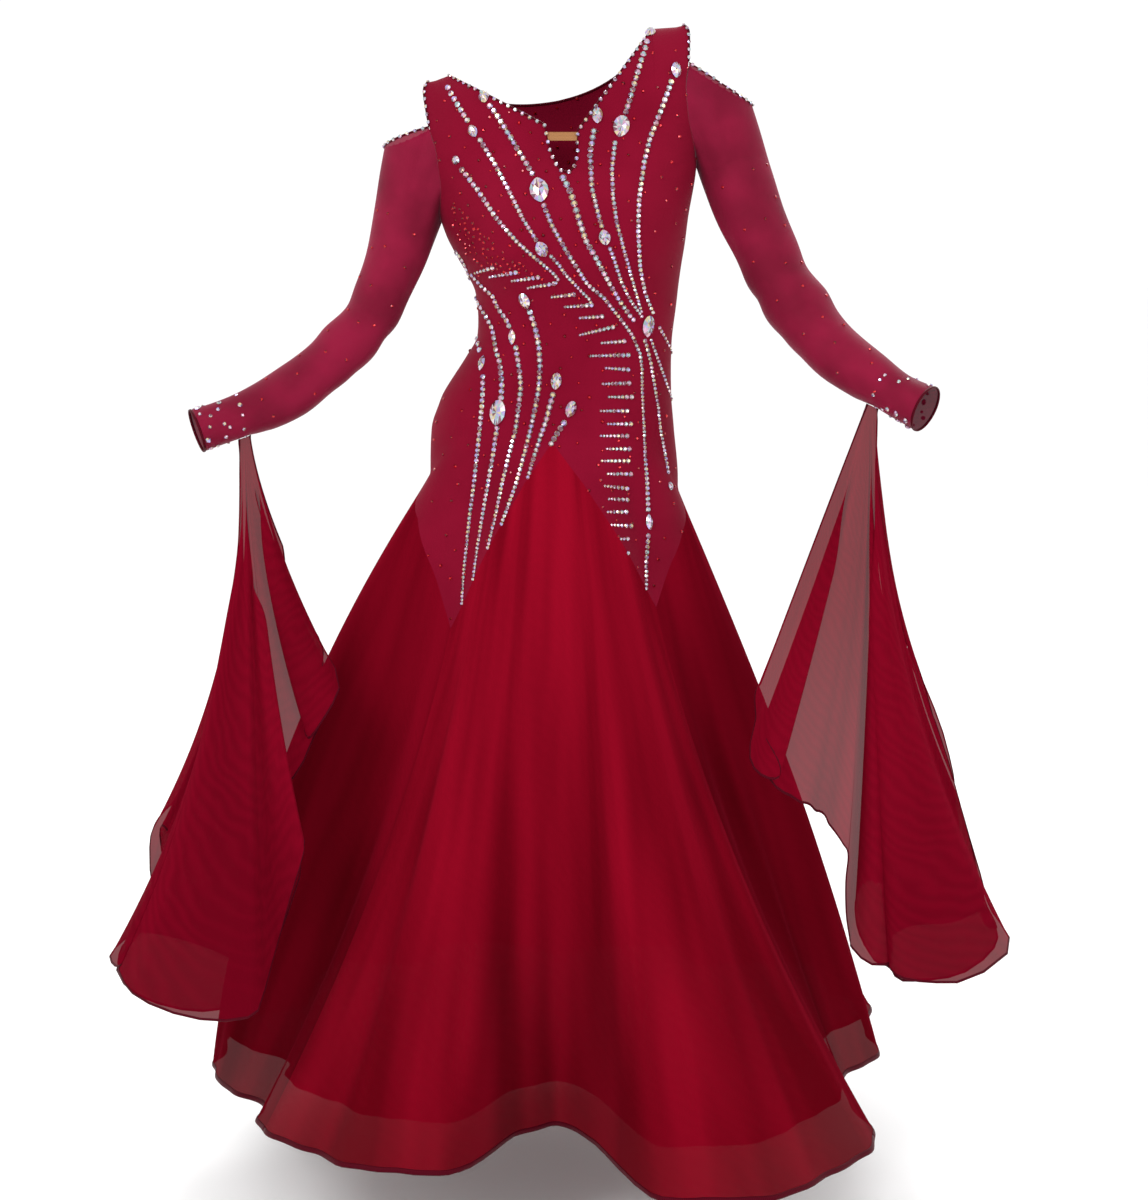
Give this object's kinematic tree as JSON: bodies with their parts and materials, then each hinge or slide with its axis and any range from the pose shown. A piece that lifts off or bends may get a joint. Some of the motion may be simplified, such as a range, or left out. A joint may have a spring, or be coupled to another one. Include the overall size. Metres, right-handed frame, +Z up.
{
  "type": "ballroom dance dress",
  "caption": "Long-sleeved ballroom gown in its worn shape: fitted bodice with open shoulders, flared godet skirt over an inner layer, and a float under each cuff.",
  "frame": {"origin": "middle of the shoulder line, where the wearer's shoulders carry the dress", "axes": "+Z up, the wearer faces -Y, +X towards the wearer's left arm"},
  "size_m": [1.094, 0.9182, 1.3348],
  "materials": {
    "bodice_fabric": "matte stretch crepe",
    "organza": "sheer satin organza",
    "stretch_mesh": "sheer stretch mesh",
    "bridge_fabric": "matte tan elastic",
    "cut_glass": "faceted, iridescent coating"
  },
  "bodies": {
    "root": {"bodice_front": "bodice_fabric", "bodice_back": "bodice_fabric", "neck_bridge": "bridge_fabric", "godet_front": "organza", "godet_left": "organza", "godet_back": "organza", "godet_right": "organza", "underskirt": "organza", "sleeve_right": "stretch_mesh", "sleeve_left": "stretch_mesh", "float_right": "organza", "float_left": "organza", "stone_01": "cut_glass", "stone_02": "cut_glass", "stone_03": "cut_glass", "stone_04": "cut_glass", "stone_05": "cut_glass", "stone_06": "cut_glass", "stone_07": "cut_glass", "stone_08": "cut_glass", "stone_09": "cut_glass", "stone_10": "cut_glass", "stone_11": "cut_glass"}
  },
  "joints": []
}
